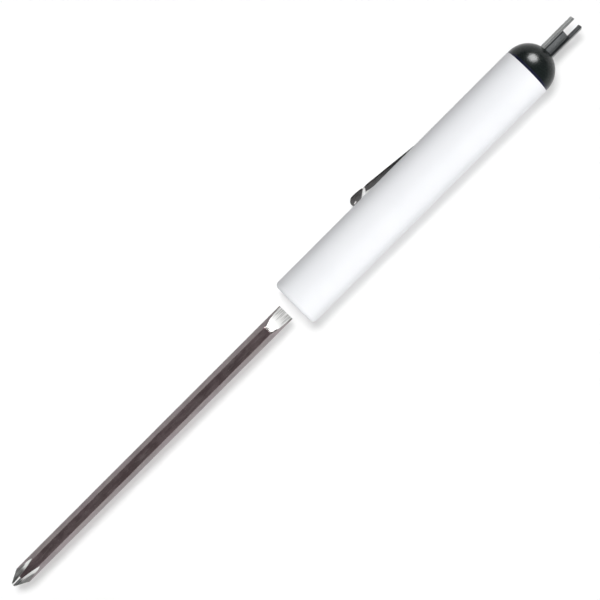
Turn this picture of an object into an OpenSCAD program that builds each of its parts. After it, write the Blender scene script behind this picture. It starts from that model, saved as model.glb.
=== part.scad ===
// Pocket screwdriver with a reversible hexagonal blade, a pocket clip and a fork for tyre valve cores.
// Sizes are in millimetres. The tool lies on its side: X runs along its axis from the blade to the
// fork, Z is up, and the origin is the centre of the barrel's nose face.

/* [Barrel] */
// Outside diameter of the barrel
barrel_d = 12.7; // [12:0.1:15]
// Length from the nose face to the seat of the dome
barrel_l = 76.65; // [70:0.05:95]
// Thickness of the side wall
barrel_wall = 1.4; // [1.2:0.1:1.8]
// Thickness of the end wall at the nose
nose_wall = 2; // [1.5:0.1:3]
// Radius of the rounded edge of the nose
nose_round = 1.1; // [0.4:0.1:1.4]
// Depth of the lead-in round the mouth of the blade hole
mouth_chamfer = 0.4; // [0.2:0.05:0.6]

/* [Blade] */
// Size of the hexagonal bar across its flats
blade_af = 3.75; // [3:0.01:4]
// Length of the blade from tip to tip
blade_l = 90.3; // [75:0.1:100]
// Distance from the slotted end to the nose face while the blade is out
blade_gap = 2.65; // [1:0.05:20]

/* [Phillips tip] */
// Half angle of the cone that the point is turned to
point_half_angle = 27; // [24:1:32]
// Radius of the blunt end of the point
point_r = 0.5; // [0.3:0.05:0.6]
// Length of the ground flutes
flute_l = 7.6; // [6:0.1:10]
// Width of a wing at the end of the point
wing_w = 0.52; // [0.4:0.02:0.8]
// Width of the flat floor of a flute
flute_floor = 0.45; // [0.1:0.05:0.6]

/* [Slotted tip] */
// Length of the two ground faces
slot_face_l = 6; // [4.5:0.1:8]
// Thickness of the tip at its end
slot_tip_t = 0.8; // [0.6:0.05:1.1]
// Diameter of the wheel that hollows the faces
slot_wheel_d = 36; // [30:1:60]

/* [Blade socket] */
// Depth of the hexagonal hole from the nose face
socket_depth = 36; // [28:0.5:45]
// Thickness of the wall that stops the blade
socket_end = 2; // [1.5:0.1:4]
// Least thickness of the sleeve, over the corners of its hole
socket_wall = 1.1; // [0.8:0.1:1.3]
// Thickness of each rib that bears on the barrel
rib_t = 1.2; // [0.9:0.1:1.6]

/* [Grip spring] */
// Thickness of the leaf
leaf_t = 0.3; // [0.2:0.05:0.4]
// Width of the leaf
leaf_w = 2; // [1.4:0.1:2.2]
// Length of the leaf
leaf_l = 13.2; // [11:0.1:15]
// Distance of the leaf from the nose wall
leaf_gap = 3; // [1:0.1:8]

/* [Dome] */
// Step from the barrel's side in to the dome
dome_step = 0.02; // [0.01:0.01:0.4]
// Radius of the flat on top of the dome, between the sides of the fork
dome_flat_r = 0.3; // [0.2:0.05:0.6]
// Height of the straight lip under the dome
dome_lip = 0.45; // [0.05:0.05:1]
// Length of the skirt and boss inside the barrel
plug_l = 9; // [8:0.5:12]
// Thickness of the skirt
skirt_t = 0.9; // [0.7:0.1:1.1]
// Radius of the boss that holds the fork
boss_r = 2.9; // [2.6:0.1:3.1]
// Radius of the bead that snaps into the barrel
bead_r = 0.25; // [0.15:0.05:0.35]
// Distance of the bead from the dome's seat
bead_drop = 6.2; // [5.5:0.1:7]

/* [Valve fork] */
// Width of the channel over its two sides
fork_w = 3.75; // [3.3:0.05:4]
// Depth of the channel
fork_h = 1.55; // [1.3:0.05:1.9]
// Thickness of the sheet
fork_t = 0.62; // [0.4:0.02:0.66]
// Inside radius of the channel's bends
fork_bend = 0.15; // [0.1:0.05:0.35]
// Outside radius of the channel's bends
fork_edge = 0.3; // [0.15:0.05:0.6]
// Length that stands out of the dome
fork_out = 9.58; // [7:0.02:14]
// Length held in the dome
fork_in = 12; // [10:0.5:13]
// Length of the prongs, past the end of the web
prong_l = 3.7; // [2.5:0.05:5]
// Bevel at the outer corners of the prongs
prong_bevel = 0.3; // [0.1:0.05:0.45]
// Turn of the channel's open side from straight up
fork_turn = 26; // [0:1:90]
// Diameter of the hole that locks the tail in the dome
tail_hole_d = 1.4; // [1:0.1:1.7]

/* [Pocket clip] */
// Thickness of the spring strip
clip_t = 0.4; // [0.3:0.05:0.5]
// Width of the strip under the dome
clip_root_w = 2.4; // [2:0.1:3.2]
// Width of the strip at the end of its arm
clip_arm_w = 1.9; // [1.6:0.1:2.4]
// Length of the shoulders at the end of the arm
clip_shoulder_l = 0.35; // [0.2:0.05:0.8]
// Width of the neck between the arm and the toe pad
clip_neck_w = 1.5; // [0.8:0.05:1.55]
// Length of the neck
clip_neck_l = 0.4; // [0.2:0.05:0.8]
// Width of the toe pad
clip_pad_w = 2.9; // [2.4:0.1:4]
// Length of the toe pad
clip_pad_l = 4.8; // [4:0.1:6]
// Length from the dome's seat to the toe
clip_l = 50.75; // [46:0.05:60]
// Length that lies along the barrel
clip_flat_l = 30.45; // [24:0.05:34]
// Height that the arm rises by
clip_rise = 2.12; // [1.5:0.02:3]
// Curl of the toe back to the barrel
toe_curl = 34; // [15:1:45]
// Length of the hook inside the barrel
hook_l = 2.5; // [1.5:0.1:3]
// Angle of the clip below the horizontal
clip_below = 33; // [0:1:90]

/* [Clearances] */
// Gap between the blade and its hole, on each flat
hex_fit = 0.05; // [0.02:0.01:0.12]
// Gap between the blade and the crown of the leaf
leaf_touch = 0.03; // [0.02:0.01:0.05]
// Gap between parts that are pressed together
press_gap = 0.02; // [0.01:0.01:0.04]
// Gap between the clip and the barrel
clip_gap = 0.08; // [0.05:0.01:0.15]
// Room round the clip's hook for its spring
hook_room = 0.2; // [0.18:0.01:0.3]

/* [Hidden] */

$fn = 96;
overrun = 0.5;
bend_steps = 10;

hex_corner_angle = 30;
flute_turn = 45;

barrel_r = barrel_d / 2;
bore_r = barrel_r - barrel_wall;
plug_r = bore_r - press_gap;

blade_r = blade_af / 2 / cos(hex_corner_angle);
hole_af = blade_af + 2 * hex_fit;
hole_r = hole_af / 2 / cos(hex_corner_angle);
blade_x = -blade_gap - blade_l;

// The flute wheel runs out where it meets the side of the bar between two corners.
flute_root_r = wing_w * cos(flute_turn) + flute_floor / 2;
flute_side_r = blade_af / 2 / cos(2 * hex_corner_angle - flute_turn);
flute_rise = flute_side_r - flute_root_r;
flute_wheel_r = (flute_l * flute_l + flute_rise * flute_rise) / (2 * flute_rise);
flute_depth = 2 * blade_r;

// The slot wheel touches the end of the tip and the start of its ground face.
slot_wheel_r = slot_wheel_d / 2;
slot_drop = (blade_af - slot_tip_t) / 2;
slot_chord = sqrt(slot_face_l * slot_face_l + slot_drop * slot_drop);
slot_reach = sqrt(slot_wheel_r * slot_wheel_r - slot_chord * slot_chord / 4);
slot_wheel_back = slot_face_l / 2 - slot_reach * slot_drop / slot_chord;
slot_wheel_up = (blade_af + slot_tip_t) / 4 + slot_reach * slot_face_l / slot_chord;

socket_l = socket_depth + socket_end - nose_wall;
socket_core_r = hole_r + socket_wall;
rib_turn = 45;

leaf_side = hex_fit * 3;
leaf_crown = blade_af / 2 + leaf_touch;
// The ends of the leaf bear on the barrel's bore.
leaf_rise = sqrt(bore_r * bore_r - leaf_w * leaf_w / 4) - press_gap - leaf_crown;
leaf_span = leaf_l * leaf_l / 4 + leaf_rise * leaf_rise - leaf_t * leaf_t;
leaf_r = leaf_span / (2 * (leaf_rise - leaf_t));
leaf_x = nose_wall + leaf_gap + leaf_l / 2;
// The slot ends where the leaf comes out through the side of the sleeve.
leaf_sink = leaf_crown + leaf_r - socket_core_r;
leaf_slot_l = 2 * (sqrt(leaf_r * leaf_r - leaf_sink * leaf_sink) + leaf_side);
leaf_slot_w = leaf_w + 2 * leaf_side;

dome_r = barrel_r - dome_step;
dome_top_x = barrel_l + dome_lip + dome_r;

skirt_mid_r = (boss_r + plug_r - skirt_t) / 2;

fork_end_x = dome_top_x + fork_out;
fork_start_x = dome_top_x - fork_in;
fork_l = fork_out + fork_in;
tail_hole_drop = tail_hole_d * 2;

clip_mid_r = barrel_r + clip_gap + clip_t / 2;
clip_bend = clip_t;
hook_r = sqrt(bore_r * bore_r - clip_root_w * clip_root_w / 4) - hook_room - clip_t / 2;
hook_x = barrel_l - clip_gap - clip_t / 2;
rise_x = barrel_l - clip_flat_l;
toe_x = barrel_l - clip_l;
crease_x = toe_x + clip_pad_l;
clip_slope = atan(clip_rise / (rise_x - crease_x));
rise_bend = clip_t * 20;
crease_bend = clip_t * 2;
toe_bend = clip_pad_w;
arm_l = (rise_x - crease_x) / cos(clip_slope);
rise_tangent = rise_bend * tan(clip_slope / 2);
crease_tangent = crease_bend * tan(clip_slope / 2);
pad_flat_l = clip_pad_l - crease_tangent - toe_bend * sin(toe_curl);
clip_slot_w = clip_root_w + 2 * hook_room;
rim_notch = clip_gap + clip_t + hook_room;

plastic_white = [0.94, 0.94, 0.93];
plastic_grey = [0.55, 0.57, 0.6];
plastic_black = [0.06, 0.06, 0.07];
steel_bright = [0.72, 0.72, 0.73];
steel_dark = [0.4, 0.41, 0.42];
steel_spring = [0.3, 0.3, 0.32];

// Lays a shape that is drawn upright along X, with its own X across and its own Y up.
module lengthwise(at) {
  translate([at, 0, 0])
    rotate([90, 0, 90])
      children();
}

// Turns a shape drawn with the clip straight out along Y to the clip's own place.
module clip_side() {
  rotate([-clip_below, 0, 0])
    children();
}

module hexagon(across) {
  circle(d = across / cos(hex_corner_angle), $fn = 6);
}

// Barrel

module barrel_outline() {
  translate([0, nose_round])
    square([barrel_r, barrel_l - nose_round]);
  square([barrel_r - nose_round, nose_round]);
  translate([barrel_r - nose_round, nose_round])
    circle(r = nose_round);
}

module barrel() {
  color(plastic_white)
    difference() {
      lengthwise(0)
        rotate_extrude()
          difference() {
            barrel_outline();
            translate([0, nose_wall])
              square([bore_r, barrel_l]);
            translate([bore_r, barrel_l - bead_drop])
              circle(r = bead_r + press_gap);
          }
      lengthwise(-overrun)
        linear_extrude(height = nose_wall + 2 * overrun)
          hexagon(hole_af);
      lengthwise(-overrun)
        cylinder(
          h = mouth_chamfer + 2 * overrun,
          r1 = hole_r + mouth_chamfer + overrun,
          r2 = hole_r - overrun
        );
      clip_side()
        translate([barrel_l - rim_notch, bore_r - barrel_wall, -clip_slot_w / 2])
          cube([rim_notch + overrun, 2 * barrel_wall + overrun, clip_slot_w]);
    }
}

// Blade socket

module socket_section() {
  circle(r = socket_core_r);
  intersection() {
    circle(r = plug_r);
    for (i = [0:3])
      rotate(rib_turn + 90 * i)
        translate([0, -rib_t / 2])
          square([barrel_r, rib_t]);
  }
}

module blade_socket() {
  color(plastic_grey)
    difference() {
      lengthwise(nose_wall)
        linear_extrude(height = socket_l)
          socket_section();
      lengthwise(nose_wall - overrun)
        linear_extrude(height = socket_depth - nose_wall + overrun)
          hexagon(hole_af);
      translate([leaf_x - leaf_slot_l / 2, -leaf_slot_w / 2, 0])
        cube([leaf_slot_l, leaf_slot_w, barrel_r]);
    }
}

// Grip spring

module grip_spring() {
  color(steel_spring)
    intersection() {
      translate([leaf_x, leaf_w / 2, leaf_crown + leaf_r])
        rotate([90, 0, 0])
          difference() {
            cylinder(h = leaf_w, r = leaf_r);
            translate([0, 0, -overrun])
              cylinder(h = leaf_w + 2 * overrun, r = leaf_r - leaf_t);
          }
      translate([leaf_x - leaf_l / 2, -leaf_w, 0])
        cube([leaf_l, 2 * leaf_w, bore_r]);
    }
}

// Blade

module point_cone() {
  cone_l = (flute_depth - point_r) / tan(point_half_angle);
  cylinder(h = cone_l, r1 = point_r, r2 = flute_depth);
  translate([0, 0, cone_l])
    cylinder(h = blade_l, r = flute_depth);
}

module flute_wheel() {
  flare = flute_floor / 2 + flute_depth;
  rotate([90, 0, 0])
    rotate_extrude()
      polygon([
        [flute_wheel_r, -flute_floor / 2],
        [flute_wheel_r, flute_floor / 2],
        [flute_wheel_r - flute_depth, flare],
        [flute_wheel_r - flute_depth, -flare]
      ]);
}

module slot_wheel() {
  translate([-blade_r - overrun, slot_wheel_up, blade_l - slot_wheel_back])
    rotate([0, 90, 0])
      cylinder(h = 2 * (blade_r + overrun), r = slot_wheel_r);
}

module blade() {
  color(steel_bright)
    lengthwise(blade_x)
      difference() {
        intersection() {
          linear_extrude(height = blade_l)
            hexagon(blade_af);
          point_cone();
        }
        for (i = [0:3])
          rotate([0, 0, flute_turn + 90 * i])
            translate([flute_root_r + flute_wheel_r, 0, 0])
              flute_wheel();
        for (side = [0, 1])
          mirror([0, side, 0])
            slot_wheel();
      }
}

// Valve fork

function corner(x, y, r, from, to) =
  [for (i = [0:bend_steps])
    let (a = from + (to - from) * i / bend_steps) [x + r * cos(a), y + r * sin(a)]];

// Section of the channel, made larger all round by the gap that is asked for.
module channel(gap) {
  half = fork_w / 2 + gap;
  top = fork_h / 2 + gap;
  inner = fork_w / 2 - fork_t - gap;
  web = fork_t - fork_h / 2 + gap;
  out_r = fork_edge + gap;
  in_r = fork_bend - gap;
  polygon(concat(
    [[-half, top]],
    corner(out_r - half, out_r - top, out_r, 180, 270),
    corner(half - out_r, out_r - top, out_r, 270, 360),
    [[half, top], [inner, top]],
    corner(inner - in_r, web + in_r, in_r, 360, 270),
    corner(in_r - inner, web + in_r, in_r, 270, 180),
    [[-inner, top]]
  ));
}

module tail_lock(d) {
  translate([0, 0, tail_hole_drop])
    rotate([90, 0, 0])
      cylinder(h = fork_h, d = d);
}

module prong_corner() {
  translate([fork_w / 2, 0, fork_l])
    rotate([90, 0, 0])
      linear_extrude(height = 2 * fork_h, center = true)
        polygon([
          [overrun, overrun],
          [overrun, -prong_bevel - overrun],
          [-prong_bevel - overrun, overrun]
        ]);
}

module valve_fork() {
  color(steel_dark)
    lengthwise(fork_start_x)
      rotate([0, 0, fork_turn])
        difference() {
          linear_extrude(height = fork_l)
            channel(0);
          translate([fork_t - fork_w / 2, -fork_h, fork_l - prong_l])
            cube([fork_w - 2 * fork_t, 2 * fork_h, prong_l + overrun]);
          tail_lock(tail_hole_d);
          for (side = [0, 1])
            mirror([side, 0, 0])
              prong_corner();
        }
}

// Dome cap

module dome_outline() {
  translate([0, dome_lip])
    intersection() {
      circle(r = dome_r);
      square([dome_r, sqrt(dome_r * dome_r - dome_flat_r * dome_flat_r)]);
    }
  square([dome_r, dome_lip]);
  translate([0, -plug_l])
    square([boss_r, plug_l]);
  translate([plug_r - skirt_t, -plug_l])
    square([skirt_t, plug_l]);
  intersection() {
    translate([plug_r, -bead_drop])
      circle(r = bead_r);
    translate([plug_r - skirt_t, -plug_l])
      square([2 * skirt_t, plug_l]);
  }
}

module dome_cap() {
  color(plastic_black)
    difference() {
      lengthwise(barrel_l)
        rotate_extrude()
          dome_outline();
      lengthwise(fork_start_x - press_gap)
        rotate([0, 0, fork_turn])
          difference() {
            linear_extrude(height = fork_l)
              channel(press_gap);
            translate([0, 0, press_gap])
              tail_lock(tail_hole_d - 2 * press_gap);
          }
      clip_side()
        translate([barrel_l - bead_drop + bead_r, skirt_mid_r, -clip_slot_w / 2])
          cube([bead_drop - bead_r + clip_gap, barrel_r, clip_slot_w]);
    }
}

// Pocket clip

// One station on the strip's middle line is [x, y, heading].
function ahead(s, l) = [s[0] + l * cos(s[2]), s[1] + l * sin(s[2]), s[2]];
function turned(s, r, a) =
  let (k = sign(a), h = s[2] + a)
    [s[0] + k * r * (sin(h) - sin(s[2])), s[1] + k * r * (cos(s[2]) - cos(h)), h];
function bend(s, r, a) = [for (i = [1:bend_steps]) turned(s, r, a * i / bend_steps)];
function end(list) = list[len(list) - 1];
function beside(s, d) = [s[0] - d * sin(s[2]), s[1] + d * cos(s[2])];

function clip_path() =
  let (
    hook_end = [hook_x - clip_bend - hook_l, hook_r, 0],
    hook_top = ahead(hook_end, hook_l),
    turn_in = bend(hook_top, clip_bend, 90),
    over_rim = ahead(end(turn_in), clip_mid_r - hook_r - 2 * clip_bend),
    turn_out = bend(over_rim, clip_bend, 90),
    lift = ahead(end(turn_out), hook_x - clip_bend - rise_x - rise_tangent),
    lifting = bend(lift, rise_bend, -clip_slope),
    neck = ahead(end(lifting), arm_l - rise_tangent - crease_tangent),
    crease = bend(neck, crease_bend, clip_slope),
    pad = ahead(end(crease), pad_flat_l),
    toe = bend(pad, toe_bend, toe_curl)
  )
  concat(
    [hook_end, hook_top],
    turn_in,
    [over_rim],
    turn_out,
    [lift],
    lifting,
    [neck],
    crease,
    [pad],
    toe
  );

module clip_profile() {
  path = clip_path();
  last = len(path) - 1;
  polygon(concat(
    [for (s = path) beside(s, clip_t / 2)],
    [for (i = [0:last]) beside(path[last - i], -clip_t / 2)]
  ));
}

module clip_plan() {
  pad_r = clip_pad_w / 2;
  pad_x = toe_x + pad_r;
  neck_y = clip_neck_w / 2;
  arm_y = clip_arm_w / 2;
  root_y = clip_root_w / 2;
  arm_x = crease_x + clip_neck_l;
  // The pad's sides are drawn in to the neck along a quarter of an ellipse.
  neck_turn = asin(neck_y / pad_r);
  taper_l = (crease_x - pad_x) / cos(neck_turn);
  taper = [for (i = [0:bend_steps])
    let (a = neck_turn + (90 - neck_turn) * i / bend_steps) [pad_x + taper_l * cos(a), pad_r * sin(a)]];
  side = concat(
    [
      [barrel_l + overrun, root_y],
      [rise_x, root_y],
      [arm_x + clip_shoulder_l, arm_y],
      [arm_x, neck_y]
    ],
    taper
  );
  last = len(side) - 1;
  polygon(concat(
    side,
    [for (i = [1:2 * bend_steps - 1])
      let (a = 90 + 90 * i / bend_steps) [pad_x + pad_r * cos(a), pad_r * sin(a)]],
    [for (i = [0:last]) [side[last - i][0], -side[last - i][1]]]
  ));
}

module pocket_clip() {
  color(steel_spring)
    clip_side()
      intersection() {
        translate([0, 0, -clip_pad_w])
          linear_extrude(height = 2 * clip_pad_w)
            clip_profile();
        translate([0, 2 * barrel_d, 0])
          rotate([90, 0, 0])
            linear_extrude(height = 2 * barrel_d)
              clip_plan();
      }
}

barrel();
blade_socket();
grip_spring();
blade();
dome_cap();
valve_fork();
pocket_clip();
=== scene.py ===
"""Pocket screwdriver: looks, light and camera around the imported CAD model."""

import math

import bpy
from mathutils import Matrix, Vector


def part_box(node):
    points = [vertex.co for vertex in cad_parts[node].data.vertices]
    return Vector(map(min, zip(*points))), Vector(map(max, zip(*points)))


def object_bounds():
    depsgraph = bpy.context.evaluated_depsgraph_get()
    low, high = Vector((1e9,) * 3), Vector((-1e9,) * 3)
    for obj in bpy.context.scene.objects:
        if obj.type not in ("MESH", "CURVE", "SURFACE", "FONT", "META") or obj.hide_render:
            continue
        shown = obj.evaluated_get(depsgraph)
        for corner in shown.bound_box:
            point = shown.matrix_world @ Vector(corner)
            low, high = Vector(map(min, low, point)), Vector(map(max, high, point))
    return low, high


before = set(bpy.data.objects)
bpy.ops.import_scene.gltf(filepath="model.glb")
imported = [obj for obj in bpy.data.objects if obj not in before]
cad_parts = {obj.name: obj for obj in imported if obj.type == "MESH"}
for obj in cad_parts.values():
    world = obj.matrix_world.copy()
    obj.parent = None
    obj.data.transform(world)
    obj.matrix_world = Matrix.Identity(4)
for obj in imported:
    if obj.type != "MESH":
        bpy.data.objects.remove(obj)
cad_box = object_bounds()
scene = bpy.context.scene

MM = 0.001


class Nodes:
    """A node tree, with short calls for the nodes that the looks are made of."""

    def __init__(self, tree):
        self.tree = tree

    def node(self, kind, inputs=(), **settings):
        made = self.tree.nodes.new("ShaderNode" + kind)
        for name, value in settings.items():
            setattr(made, name, value)
        for socket, value in dict(inputs).items():
            self.put(made.inputs[socket], value)
        return made

    def put(self, socket, value):
        """Link a socket to another node's output, or set it to a constant."""
        if isinstance(value, bpy.types.NodeSocket):
            self.tree.links.new(value, socket)
        else:
            socket.default_value = value

    def remap(self, value, low, high, to_low, to_high):
        """Smooth step of a value from one range to another."""
        inputs = {"Value": value, "From Min": low, "From Max": high, "To Min": to_low, "To Max": to_high}
        return self.node("MapRange", inputs, interpolation_type="SMOOTHSTEP").outputs["Result"]

    def rise(self, value, none_at, full_at, most=1.0):
        """A share that goes smoothly from 0 at one value to most at another, which may be the lower."""
        return self.remap(value, none_at, full_at, 0.0, most)

    def math(self, operation, a, b=0.0):
        return self.node("Math", {0: a, 1: b}, operation=operation).outputs[0]

    def add(self, a, b):
        return self.math("ADD", a, b)

    def minus(self, a, b):
        return self.math("SUBTRACT", a, b)

    def times(self, a, b):
        return self.math("MULTIPLY", a, b)

    def larger(self, a, b):
        return self.math("MAXIMUM", a, b)

    def smaller(self, a, b):
        return self.math("MINIMUM", a, b)

    def absolute(self, a):
        return self.math("ABSOLUTE", a)

    def above(self, a, b):
        """1 where a is more than b, and 0 elsewhere."""
        return self.math("GREATER_THAN", a, b)


class Shader(Nodes):
    """A surface's node tree. Places in it are metres in the object's own frame."""

    # Colour sockets of a Mix node, which has a set of sockets for each kind of value
    MIX_A, MIX_B, MIX_RESULT = 6, 7, 2
    # Range that most of a noise lies in
    NOISE_LOW, NOISE_HIGH = 0.3, 0.7

    def __init__(self, name):
        self.material = bpy.data.materials.new(name)
        self.material.use_nodes = True
        super().__init__(self.material.node_tree)
        self.bsdf = self.tree.nodes["Principled BSDF"]
        self.place = self.node("TexCoord").outputs["Object"]
        self.x, self.y, self.z = self.node("SeparateXYZ", {0: self.place}).outputs

    def set(self, **values):
        """Set or link the shader's own sockets, whose names have _ for a blank here."""
        for name, value in values.items():
            self.put(self.bsdf.inputs[name.replace("_", " ")], value)

    def noise(self, size, detail=3.0, rough=0.5, stretch=(1, 1, 1)):
        """Noise from 0 to 1 in cells of about size metres, drawn out along the axes by stretch."""
        scale = [1 / (size * s) for s in stretch]
        where = self.node("Mapping", {"Vector": self.place, "Scale": scale}).outputs["Vector"]
        inputs = {"Vector": where, "Scale": 1.0, "Detail": detail, "Roughness": rough}
        return self.node("TexNoise", inputs).outputs["Fac"]

    def spread(self, noise, low=0.0, high=1.0):
        """A value that goes from low to high as a noise does."""
        return self.remap(noise, self.NOISE_LOW, self.NOISE_HIGH, low, high)

    def mix(self, factor, a, b):
        """Colour a, or b where the factor is 1."""
        made = self.node("Mix", data_type="RGBA")
        self.put(made.inputs["Factor"], factor)
        self.put(made.inputs[self.MIX_A], a)
        self.put(made.inputs[self.MIX_B], b)
        return made.outputs[self.MIX_RESULT]

    def mottle(self, noise, a, b):
        """A colour that goes from a to b as a noise does."""
        return self.mix(self.spread(noise), a, b)

    def bump(self, height, depth, strength, normal=None):
        made = self.node("Bump", {"Height": height, "Distance": depth, "Strength": strength})
        if normal is not None:
            self.put(made.inputs["Normal"], normal)
        return made.outputs["Normal"]

    def along(self, direction):
        """Distance of a point from the origin along a direction."""
        made = self.node("VectorMath", {0: self.place, 1: direction}, operation="DOT_PRODUCT")
        return made.outputs["Value"]

    def from_axis(self):
        """Distance of a point from the tool's axis."""
        return self.math("SQRT", self.add(self.times(self.y, self.y), self.times(self.z, self.z)))


def rgb(r, g, b):
    return (r, g, b, 1.0)


# Barrel: white plastic. The walls of the hole in its nose are painted grey, a painted shade in the hole.
HOLE_MOUTH_R = 2.6 * MM
HOLE_SHADE_WIDTH = 0.5 * MM


def white_plastic():
    s = Shader("barrel_white_plastic")
    cloud = s.noise(9 * MM, detail=2)
    speck = s.noise(0.35 * MM, detail=4, rough=0.6)
    white = s.mottle(cloud, rgb(0.872, 0.884, 0.910), rgb(0.888, 0.898, 0.922))
    # Painted shade: surfaces nearer the axis than the hole's mouth are darkened grey.
    painted_hole_shade = s.rise(s.from_axis(), HOLE_MOUTH_R, HOLE_MOUTH_R - HOLE_SHADE_WIDTH, 0.85)
    s.set(
        Base_Color=s.mix(painted_hole_shade, white, rgb(0.15, 0.145, 0.14)),
        Roughness=s.spread(speck, 0.42, 0.55),
        Normal=s.bump(speck, 0.004 * MM, 0.5, s.bump(cloud, 0.03 * MM, 0.4)),
        IOR=1.3,
    )
    return s.material


# Dome: polished black plastic, with a dark blue lip at its seam with the barrel.
SEAM_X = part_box("barrel")[1].x
LIP_FULL_X = SEAM_X + 0.25 * MM
LIP_END_X = SEAM_X + 0.9 * MM


def black_plastic():
    s = Shader("dome_black_plastic")
    cloud = s.noise(2.5 * MM, detail=2)
    grain = s.noise(0.25 * MM, rough=0.6)
    black = s.mottle(cloud, rgb(0.0026, 0.0058, 0.0054), rgb(0.0046, 0.0084, 0.0074))
    lip = s.rise(s.x, LIP_END_X, LIP_FULL_X, 0.9)
    s.set(
        Base_Color=s.mix(lip, black, rgb(0.008, 0.007, 0.034)),
        Roughness=s.spread(grain, 0.21, 0.29),
        Normal=s.bump(grain, 0.002 * MM, 0.4, s.bump(cloud, 0.02 * MM, 0.5)),
        IOR=1.33,
    )
    return s.material


# Blade: a hexagonal bar with one flat up. Its ground tips lie below the six flats.
# Pairs of lengths, here and further on, are distances at which a shade starts and is full.
BLADE_ACROSS_FLATS = 3.75 * MM
BLADE_HALF_AF = BLADE_ACROSS_FLATS / 2
COS_30 = math.cos(math.radians(30))
HEX_NORMALS = [(0, 0, 1), (0, COS_30, 0.5), (0, COS_30, -0.5)]
PHILLIPS_END_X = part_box("blade")[0].x
SLOTTED_END_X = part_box("blade")[1].x


def hexagon_places(s):
    """Height of a point of the bar above or below its middle, its depth below the nearest flat,
    and its distance from the nearest long edge."""
    height, second_pair, third_pair = (s.absolute(s.along(normal)) for normal in HEX_NORMALS)
    most = s.larger(height, second_pair)
    least = s.smaller(height, second_pair)
    below_flats = s.minus(BLADE_HALF_AF, s.larger(most, third_pair))
    middle = s.larger(least, s.smaller(most, third_pair))
    from_edge = s.math("DIVIDE", s.minus(BLADE_HALF_AF, middle), COS_30)
    return height, below_flats, from_edge


# From the nearest long edge
EDGE_RUB = (0.30 * MM, 0.02 * MM)
EDGE_RAGGEDNESS = 0.9 * MM


def plated_bar(s, drawn, blotch, from_edge):
    """Drawn and plated steel, stained in patches and rubbed bright along the bar's long edges."""
    tint = s.noise(3.4 * MM, detail=2, stretch=(1.6, 1, 1))
    ragged = s.noise(0.55 * MM, detail=4, rough=0.65, stretch=(3, 1, 1))
    bar = s.mix(s.rise(tint, 0.40, 0.60), rgb(0.326, 0.264, 0.276), rgb(0.318, 0.272, 0.262))
    bar = s.mix(s.rise(blotch, 0.40, 0.66, 0.62), bar, rgb(0.185, 0.146, 0.152))
    bar = s.mix(s.rise(drawn, 0.52, 0.74, 0.42), bar, rgb(0.46, 0.41, 0.41))
    ragged_edge = s.add(from_edge, s.times(s.minus(ragged, 0.5), EDGE_RAGGEDNESS))
    return s.mix(s.rise(ragged_edge, *EDGE_RUB, 0.5), bar, rgb(0.44, 0.39, 0.39))


# Below the upper or the lower flat
FLAT_SKIN = (0.05 * MM, 0.01 * MM)


def darker_flats(s, bar, height):
    """The bar with its upper and lower flats browner and darker in broad patches, with streaks."""
    flat_patch = s.noise(1.2 * MM, detail=4, rough=0.65, stretch=(2.8, 1, 1))
    streak = s.noise(0.5 * MM, rough=0.6, stretch=(8, 1, 1))
    flat = s.mix(s.rise(flat_patch, 0.38, 0.62), rgb(0.332, 0.250, 0.262), rgb(0.190, 0.127, 0.136))
    flat = s.mix(s.rise(streak, 0.52, 0.68, 0.55), flat, rgb(0.46, 0.39, 0.40))
    on_flat = s.rise(s.minus(BLADE_HALF_AF, height), *FLAT_SKIN)
    return s.mix(s.times(on_flat, 0.75), bar, flat)


def pitted_bar(s, bar):
    """The bar with dark pits and bright specks."""
    pits = s.noise(0.26 * MM, detail=2, stretch=(1.5, 1, 1))
    bar = s.mix(s.rise(pits, 0.66, 0.73, 0.6), bar, rgb(0.13, 0.11, 0.11))
    return s.mix(s.rise(pits, 0.33, 0.27, 0.5), bar, rgb(0.55, 0.52, 0.52))


# From the middle of the bar, towards the clip's side and away from it, where painted shade darkens each side
CLIP_SIDE_SHADE = (1.0 * MM, 1.3 * MM)
FAR_SIDE_SHADE = (-1.0 * MM, -1.3 * MM)


def painted_side_shade(s, bar):
    """The bar with painted shade: the side that the clip is on painted darker, and the other side painted
    greyer.
    """
    bar = s.mix(s.rise(s.y, *CLIP_SIDE_SHADE, 0.54), bar, rgb(0.11, 0.095, 0.10))
    return s.mix(s.rise(s.y, *FAR_SIDE_SHADE, 0.45), bar, rgb(0.254, 0.242, 0.240))


# From the slotted end, from the middle of the bar and below its flats
SCORCHED_END = (2.0 * MM, 0.4 * MM)
SCORCHED_SIDE = (-0.9 * MM, -1.2 * MM)
SCORCHED_SKIN = (0.002 * MM, 0.012 * MM)


def scorched_bar(s, bar, from_slot, run_out, below_flats):
    """The bar scorched by grinding, on one side of the slotted tip and on the skin where a face runs out."""
    side = s.times(s.rise(from_slot, *SCORCHED_END, 0.7), s.rise(s.y, *SCORCHED_SIDE))
    skin = s.times(run_out, s.rise(below_flats, *SCORCHED_SKIN, 0.9))
    return s.mix(s.larger(side, skin), bar, rgb(0.06, 0.06, 0.055))


# The Phillips point is a cone with a blunt end.
POINT_R = 0.5 * MM
POINT_SLOPE = math.tan(math.radians(27))
# From the point
WING_SHADE = (6.6 * MM, 5.0 * MM)
SIDE_SHADE = (5.4 * MM, 3.8 * MM)
STREAKS = (6.4 * MM, 4.6 * MM)
POINT_DARK = (3.2 * MM, 1.7 * MM)
# Beside the floor of a flute, kept bright as a painted highlight, which widens by a share of the distance
# from the point
OFF_FLOOR = (0.0, 0.35 * MM)
FLOOR_WIDENING = 0.1
# From the middle of the bar, and below the cone
PAST_MIDDLE = (-0.02 * MM, 0.12 * MM)
CONE_SKIN = (0.10 * MM, 0.05 * MM)


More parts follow.
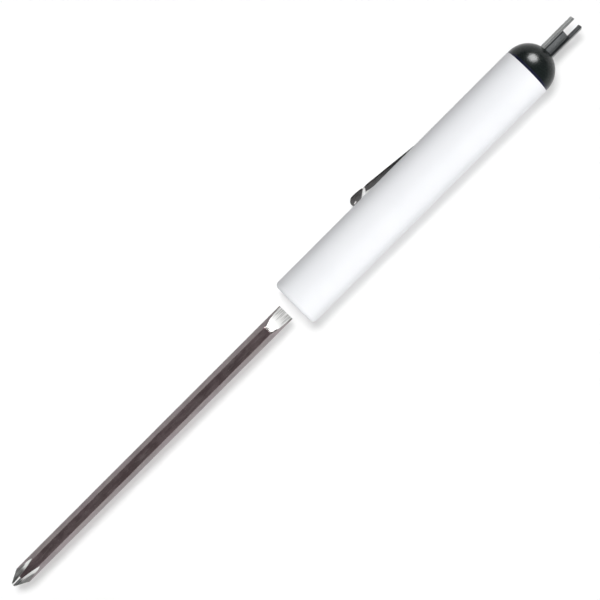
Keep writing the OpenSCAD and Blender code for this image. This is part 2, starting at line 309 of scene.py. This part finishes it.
def point_darkness(s, from_point, scratch):
    """How dark the Phillips point is painted, as painted light and shade. It comes to 0 along the rest of
    the blade.
    """
    # Painted light and shade: the flutes are kept bright at their floors as a painted highlight, duller on
    # the wings, and painted dark as shade on one side of the bar. They are darkest at the point.
    beyond_floor = s.minus(s.minus(s.absolute(s.y), s.absolute(s.z)), s.times(from_point, FLOOR_WIDENING))
    duller = s.times(s.rise(beyond_floor, *OFF_FLOOR, 0.85), s.rise(from_point, *WING_SHADE))
    dark = s.times(s.rise(s.y, *PAST_MIDDLE), s.rise(from_point, *SIDE_SHADE, 0.9))
    darkest_at_point = s.rise(from_point, *POINT_DARK)
    streaks = s.times(s.minus(scratch, 0.5), s.rise(from_point, *STREAKS, 1.3))
    fluted = s.add(s.larger(s.larger(duller, dark), darkest_at_point), streaks)
    # One half of each wing's blunt end is kept bright as a painted highlight, and the other is painted dark
    # as shade.
    cone_r = s.add(s.times(from_point, POINT_SLOPE), POINT_R)
    on_cone = s.rise(s.minus(cone_r, s.from_axis()), *CONE_SKIN)
    halves = s.times(s.times(s.y, s.z), s.minus(s.times(s.y, s.y), s.times(s.z, s.z)))
    return s.add(s.times(on_cone, s.above(halves, 0.0)), s.times(s.minus(1.0, on_cone), fluted))


# From the slotted end
SCORES = (4.4 * MM, 0.3 * MM)


def ground_steel(s, from_point, from_slot, scratch):
    """Fresh steel of the ground tips, with scores near the slotted end and the Phillips point's painted
    light and shade.
    """
    scored = s.rise(s.add(scratch, s.rise(from_slot, *SCORES, 0.17)), 0.58, 0.74, 0.62)
    darkness = s.larger(scored, point_darkness(s, from_point, scratch))
    darkness = s.smaller(s.larger(darkness, 0.0), 1.0)
    return s.mix(darkness, rgb(0.77, 0.77, 0.76), rgb(0.075, 0.075, 0.073))


# From the slotted end, the near and far limits of the stretch where its faces run out into the bar
RUN_OUT_NEAR = (3.8 * MM, 4.8 * MM)
RUN_OUT_FAR = (12 * MM, 10 * MM)
# Steel deeper than this below the flats is ground. Where a face runs out, the limit is up to the ragged
# depth deeper.
GROUND_DEPTH = 0.025 * MM
RAGGED_DEPTH = 0.34 * MM
# From the nearest long edge
EDGE_ROUND = (0.0, 0.22 * MM)


def blade_steel():
    s = Shader("blade_steel")
    height, below_flats, from_edge = hexagon_places(s)
    from_point = s.minus(s.x, PHILLIPS_END_X)
    from_slot = s.minus(SLOTTED_END_X, s.x)
    run_out = s.times(s.rise(from_slot, *RUN_OUT_FAR), s.rise(from_slot, *RUN_OUT_NEAR))
    drawn = s.noise(0.2 * MM, detail=4, rough=0.6, stretch=(45, 1, 1))
    blotch = s.noise(2.6 * MM, detail=4, rough=0.6, stretch=(1.8, 1, 1))
    scratch = s.noise(0.13 * MM, rough=0.6, stretch=(30, 1, 30))

    bar = plated_bar(s, drawn, blotch, from_edge)
    bar = darker_flats(s, bar, height)
    bar = pitted_bar(s, bar)
    bar = painted_side_shade(s, bar)
    bar = scorched_bar(s, bar, from_slot, run_out, below_flats)

    ragged = s.noise(0.32 * MM, rough=0.6, stretch=(3.5, 1, 1))
    ragged_start = s.times(run_out, s.rise(ragged, 0.32, 0.68, RAGGED_DEPTH))
    ground = s.above(s.minus(below_flats, ragged_start), GROUND_DEPTH)
    fresh = ground_steel(s, from_point, from_slot, scratch)

    rounded_edges = s.bump(s.rise(from_edge, *EDGE_ROUND), 0.05 * MM, 0.8)
    drawn_lines = s.bump(drawn, 0.003 * MM, 0.5, rounded_edges)
    s.set(
        Base_Color=s.mix(ground, bar, fresh),
        Metallic=s.remap(ground, 0.0, 1.0, 1.0, 0.3),
        Roughness=s.add(s.spread(blotch, 0.17, 0.27), s.times(ground, 0.16)),
        Normal=s.bump(s.times(ground, scratch), 0.006 * MM, 0.6, drawn_lines),
    )
    return s.material


# Fork: a bent channel of zinc-grey sheet, whose open side is turned about the tool's axis.
FORK_TURN = math.radians(26)
FORK_OPEN = (0, -math.sin(FORK_TURN), math.cos(FORK_TURN))
FORK_ACROSS = (0, math.cos(FORK_TURN), math.sin(FORK_TURN))
FORK_WIDTH = 3.75 * MM
FORK_SHEET = 0.62 * MM
FORK_DEPTH = 1.55 * MM
FORK_INNER_HALF = FORK_WIDTH / 2 - FORK_SHEET
FORK_HALF_DEPTH = FORK_DEPTH / 2
# Below the cut edges
BELOW_EDGE = (0.04 * MM, 0.22 * MM)
# Inwards from the inner wall of the nearest side, the limits of the channel and of the painted shade in its
# corners
IN_CHANNEL = (-0.08 * MM, -0.02 * MM)
CORNER = (0.08 * MM, 0.01 * MM)
# Inwards from the inner wall of the upper side, where the painted shadow on the channel's floor fades in
UPPER_SHADE = (0.85 * MM, 0.70 * MM)
# Inwards from the inner wall of the lower side, the outer and inner limits of its rolled edge, which is
# painted dark as shade
ROLLED_OUTER = (-0.32 * MM, -0.20 * MM)
ROLLED_INNER = (0.10 * MM, 0.0)


def fork_steel():
    s = Shader("fork_steel")
    grain = s.noise(0.2 * MM, detail=4, rough=0.7)
    cloud = s.noise(1.3 * MM, rough=0.6, stretch=(2.5, 1, 1))
    across = s.along(FORK_ACROSS)
    from_upper = s.minus(FORK_INNER_HALF, across)
    from_lower = s.add(FORK_INNER_HALF, across)
    from_wall = s.smaller(from_upper, from_lower)
    below_edge = s.rise(s.minus(FORK_HALF_DEPTH, s.along(FORK_OPEN)), *BELOW_EDGE)
    inside = s.times(below_edge, s.rise(from_wall, *IN_CHANNEL))

    # Cut edges are bright, with a painted highlight that makes the lower one brightest. The outside is grey,
    # and the inside of the channel is dull, in a lighter grey that is painted light.
    edge = s.mottle(cloud, rgb(0.44, 0.45, 0.45), rgb(0.56, 0.57, 0.565))
    # Painted highlight: the lower cut edge is lightened towards white.
    edge = s.mix(s.rise(across, 0.0, -FORK_INNER_HALF, 0.3), edge, rgb(0.88, 0.89, 0.88))
    outside = s.mottle(cloud, rgb(0.215, 0.226, 0.226), rgb(0.290, 0.300, 0.297))
    channel = s.mottle(cloud, rgb(0.290, 0.308, 0.316), rgb(0.385, 0.402, 0.410))
    base = s.mix(inside, s.mix(below_edge, edge, outside), channel)
    base = s.mix(s.rise(grain, 0.47, 0.64, 0.62), base, rgb(0.075, 0.080, 0.085))
    base = s.mix(s.rise(grain, 0.44, 0.30, 0.40), base, rgb(0.50, 0.51, 0.51))

    # Painted shade: the corners of the channel, a painted shadow on its floor beside the upper side, and the
    # inner half of the lower side's edge, which is rolled over.
    corners = s.larger(s.rise(from_wall, *CORNER, 0.95), s.rise(from_upper, *UPPER_SHADE, 0.85))
    rolled = s.times(s.rise(from_lower, *ROLLED_OUTER, 0.92), s.rise(from_lower, *ROLLED_INNER))
    dark = s.larger(s.times(inside, corners), s.times(rolled, s.minus(1.0, below_edge)))
    s.set(
        Base_Color=s.mix(dark, base, rgb(0.020, 0.022, 0.025)),
        Metallic=1.0,
        Roughness=s.spread(grain, 0.28, 0.42),
        Normal=s.bump(grain, 0.008 * MM, 0.7),
    )
    return s.material


# Clip: a dark strip along the barrel, below the middle of its side.
CLIP_BELOW = math.radians(33)
CLIP_ACROSS = (0, math.sin(CLIP_BELOW), math.cos(CLIP_BELOW))
CLIP_TOE_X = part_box("pocket_clip")[0].x
CLIP_PAD_LENGTH = 4.8 * MM
CLIP_CREASE_X = CLIP_TOE_X + CLIP_PAD_LENGTH
# Along the strip from the crease, the two limits of its painted glint, a band that slants across the strip
BAND_TOE_SIDE = (-1.15 * MM, -0.85 * MM)
BAND_STRIP_SIDE = (0.15 * MM, -0.10 * MM)
TOE_SIDE_SLANT = 0.73
STRIP_SIDE_SLANT = 0.31
# Middle of the painted glint on the toe, and its limits from there along and across the strip
SPOT_X = CLIP_TOE_X + 1.0 * MM
SPOT_ACROSS = -0.72 * MM
SPOT_LENGTH = (0.5 * MM, 0.25 * MM)
SPOT_WIDTH = (0.35 * MM, 0.1 * MM)


def clip_painted_glints(s):
    """Painted highlights that make the clip bright: beside its crease and at the curl of its toe."""
    across = s.along(CLIP_ACROSS)
    from_crease = s.minus(s.x, CLIP_CREASE_X)
    band = s.times(
        s.rise(s.minus(from_crease, s.times(across, TOE_SIDE_SLANT)), *BAND_TOE_SIDE),
        s.rise(s.minus(from_crease, s.times(across, STRIP_SIDE_SLANT)), *BAND_STRIP_SIDE),
    )
    spot = s.times(
        s.rise(s.absolute(s.minus(s.x, SPOT_X)), *SPOT_LENGTH),
        s.rise(s.absolute(s.minus(across, SPOT_ACROSS)), *SPOT_WIDTH),
    )
    return s.larger(band, spot)


def clip_steel():
    s = Shader("clip_steel")
    lines = s.noise(0.16 * MM, rough=0.6, stretch=(30, 1, 1))
    cloud = s.noise(1.8 * MM, rough=0.6, stretch=(2, 1, 1))
    base = s.mottle(cloud, rgb(0.095, 0.092, 0.092), rgb(0.160, 0.155, 0.155))
    base = s.mix(s.rise(lines, 0.5, 0.7, 0.5), base, rgb(0.26, 0.25, 0.25))
    glint = clip_painted_glints(s)
    s.set(
        # Painted highlight: the glints are near-white and less metallic.
        Base_Color=s.mix(glint, base, rgb(0.93, 0.93, 0.92)),
        Metallic=s.remap(glint, 0.0, 1.0, 1.0, 0.45),
        Roughness=s.spread(lines, 0.18, 0.30),
        Normal=s.bump(lines, 0.002 * MM, 0.5),
    )
    return s.material


def grey_plastic():
    s = Shader("socket_grey_plastic")
    cloud = s.noise(3 * MM)
    grain = s.noise(0.3 * MM, rough=0.6)
    s.set(
        Base_Color=s.mottle(cloud, rgb(0.30, 0.31, 0.33), rgb(0.36, 0.37, 0.39)),
        Roughness=s.spread(grain, 0.45, 0.6),
        Normal=s.bump(grain, 0.004 * MM, 0.5),
    )
    return s.material


def spring_steel():
    s = Shader("spring_blued_steel")
    lines = s.noise(0.15 * MM, rough=0.6, stretch=(30, 1, 1))
    s.set(
        Base_Color=s.mottle(lines, rgb(0.10, 0.11, 0.15), rgb(0.20, 0.20, 0.23)),
        Metallic=1.0,
        Roughness=s.spread(lines, 0.25, 0.4),
        Normal=s.bump(lines, 0.002 * MM, 0.5),
    )
    return s.material


LOOKS = {
    "barrel": white_plastic,
    "blade_socket": grey_plastic,
    "grip_spring": spring_steel,
    "blade": blade_steel,
    "dome_cap": black_plastic,
    "valve_fork": fork_steel,
    "pocket_clip": clip_steel,
}


def dress_pieces():
    for name, look in LOOKS.items():
        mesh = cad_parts[name].data
        mesh.materials.clear()
        mesh.materials.append(look())


# Floor: a pale sheet that the camera and the reflections see as white, with the object's shadow on it.
# To soft light it is darker, so it throws little light up at the object.
FLOOR_GAP = 0.02 * MM
FLOOR_Z = cad_box[0].z - FLOOR_GAP
FLOOR_HALF = 6.0
FLOOR_ALBEDO = 0.85
FLOOR_BOUNCE = 0.18
FLOOR_GLOW = 0.155


def floor_paper():
    material = bpy.data.materials.new("floor_paper")
    material.use_nodes = True
    material.cycles.emission_sampling = "NONE"
    n = Nodes(material.node_tree)
    n.tree.nodes.clear()
    path = n.node("LightPath").outputs
    seen = n.larger(path["Is Camera Ray"], n.larger(path["Is Glossy Ray"], path["Is Transmission Ray"]))
    paper = n.node("BsdfDiffuse", {"Color": n.remap(seen, 0.0, 1.0, FLOOR_BOUNCE, FLOOR_ALBEDO)})
    glow = n.node("Emission", {"Strength": n.times(seen, FLOOR_GLOW)})
    both = n.node("AddShader", {0: paper.outputs[0], 1: glow.outputs[0]})
    n.node("OutputMaterial", {"Surface": both.outputs[0]})
    return material


def make_floor():
    mesh = bpy.data.meshes.new("floor")
    signs = ((-1, -1), (1, -1), (1, 1), (-1, 1))
    corners = [(x * FLOOR_HALF, y * FLOOR_HALF, FLOOR_Z) for x, y in signs]
    mesh.from_pydata(corners, [], [(0, 1, 2, 3)])
    mesh.materials.append(floor_paper())
    floor = bpy.data.objects.new("floor", mesh)
    scene.collection.objects.link(floor)


# Studio: white where the camera sees it. Reflections see it dim, lighter on the side away from the clip
# and bright beyond the blade. It lights the object only a little, and the lamps do the rest.
AMBIENT = 0.02
OVERHEAD = 0.23
LIGHT_SIDE = 0.24
BLADE_SIDE = 1.1


def make_world():
    world = bpy.data.worlds.new("studio")
    scene.world = world
    world.use_nodes = True
    world.cycles.sampling_method = "NONE"
    n = Nodes(world.node_tree)
    background = n.tree.nodes["Background"]
    background.inputs["Color"].default_value = (1, 1, 1, 1)
    towards = n.node("SeparateXYZ", {0: n.node("TexCoord").outputs["Generated"]}).outputs
    sky = n.add(
        n.remap(towards["Y"], 0.0, -0.8, OVERHEAD, OVERHEAD + LIGHT_SIDE),
        n.rise(towards["X"], -0.35, -0.75, BLADE_SIDE),
    )
    path = n.node("LightPath").outputs
    seen = n.larger(path["Is Camera Ray"], path["Is Transmission Ray"])
    shiny = path["Is Glossy Ray"]
    soft = n.minus(1.0, n.larger(seen, shiny))
    n.put(background.inputs["Strength"], n.add(n.add(seen, n.times(shiny, sky)), n.times(soft, AMBIENT)))


# Lamps: the key throws the shadow, the fills throw none, and the softbox is seen only in gloss.
LAMP_DISTANCE = 5.0


def leaning(degrees, side):
    """Direction that leans from straight up towards a side, given in the floor's plane."""
    flat = Vector((side[0], side[1], 0)).normalized() * math.sin(math.radians(degrees))
    return flat + Vector((0, 0, math.cos(math.radians(degrees))))


def lamp(name, direction, half_degrees, level, gloss=False, shadow=True):
    """A round lamp in a direction from the object, seen either as soft light or in gloss alone.
    Level 1 lights a white card that faces it to white."""
    data = bpy.data.lights.new(name, "AREA")
    data.shape = "DISK"
    data.size = 2 * LAMP_DISTANCE * math.tan(math.radians(half_degrees))
    data.energy = level * (math.pi * LAMP_DISTANCE / math.cos(math.radians(half_degrees))) ** 2
    data.use_shadow = shadow
    made = bpy.data.objects.new(name, data)
    made.location = direction * LAMP_DISTANCE
    made.rotation_mode = "QUATERNION"
    made.rotation_quaternion = direction.to_track_quat("Z", "Y")
    made.visible_camera = False
    made.visible_glossy = gloss
    made.visible_diffuse = not gloss
    scene.collection.objects.link(made)


def make_lamps():
    lamp("key", leaning(17, (0.12, 0.26)), half_degrees=10, level=0.575)
    lamp("fill_high", leaning(25.5, (0, -1)), half_degrees=20, level=0.418, shadow=False)
    lamp("fill_low", leaning(86, (0, -1)), half_degrees=8, level=0.455, shadow=False)
    lamp("fill_back", leaning(66, (0, 1)), half_degrees=15, level=0.064, shadow=False)
    lamp("fill_nose", leaning(88, (-1, 0)), half_degrees=8, level=0.26, shadow=False)
    lamp("softbox", leaning(55.3, (0.912, 0.412)), half_degrees=17, level=2.35, gloss=True)


# Camera: above the barrel, leaning back a little to take in the blade.
CAMERA_PLACE = Vector((17.0 * MM, -0.28 * MM, 735 * MM))
CAMERA_AIM = Vector((1.68 * MM, -0.28 * MM, 0))
FRAME_DEGREES = 10.882
SENSOR = 36.0
NEAREST = 0.01
FURTHEST = 20


def make_camera():
    data = bpy.data.cameras.new("camera")
    data.sensor_width = SENSOR
    data.lens = SENSOR / 2 / math.tan(math.radians(FRAME_DEGREES) / 2)
    data.clip_start = NEAREST
    data.clip_end = FURTHEST
    camera = bpy.data.objects.new("camera", data)
    scene.collection.objects.link(camera)
    back = (CAMERA_PLACE - CAMERA_AIM).normalized()
    # The tool's axis runs from the lower left to the upper right of the picture.
    up = Vector((1, 1, 0))
    up = (up - up.dot(back) * back).normalized()
    right = up.cross(back)
    turned = Matrix((right, up, back)).transposed().to_4x4()
    camera.matrix_world = Matrix.Translation(CAMERA_PLACE) @ turned
    scene.camera = camera


dress_pieces()
make_floor()
make_world()
make_lamps()
make_camera()
scene.view_settings.view_transform = "Standard"
